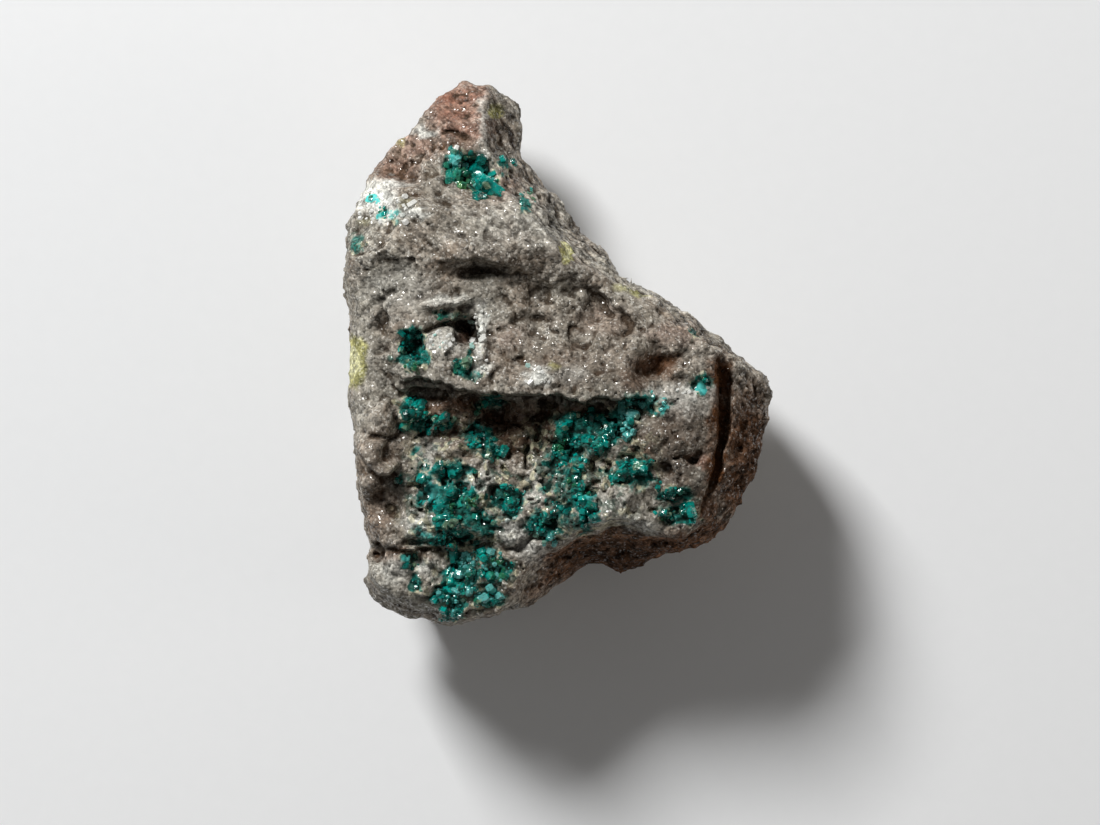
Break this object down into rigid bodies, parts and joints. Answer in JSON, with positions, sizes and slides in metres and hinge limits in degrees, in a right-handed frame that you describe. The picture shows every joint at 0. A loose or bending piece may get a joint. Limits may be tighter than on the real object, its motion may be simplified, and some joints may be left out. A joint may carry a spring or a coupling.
{
  "type": "mineral specimen",
  "caption": "Small broken piece of grey-brown rock with a pointed horn, its front crusted with emerald green crystals in patches and hollows.",
  "frame": {"origin": "middle of the bounding box in plan, on the flat broken back that the stone rests on", "axes": "+Z out of the crystal face, along the shortest extent; +Y along the longest extent, towards the pointed horn; +X across the face"},
  "size_m": [0.0282, 0.0358, 0.016],
  "materials": {
    "host_rock": "rough, sugary grain",
    "dioptase": "vitreous, transparent green",
    "druse": "vitreous white"
  },
  "bodies": {
    "root": {"host_rock": "host_rock", "dioptase_horn": "dioptase", "druse_shoulder": "druse", "dioptase_vug_left": "dioptase", "dioptase_vug_right": "dioptase", "dioptase_ledge_left": "dioptase", "dioptase_ledge_middle": "dioptase", "dioptase_field_left": "dioptase", "dioptase_field_middle": "dioptase", "dioptase_field_right": "dioptase", "dioptase_field_edge": "dioptase", "dioptase_foot": "dioptase", "dioptase_foot_spot": "dioptase", "dioptase_right_spot": "dioptase"}
  },
  "joints": []
}
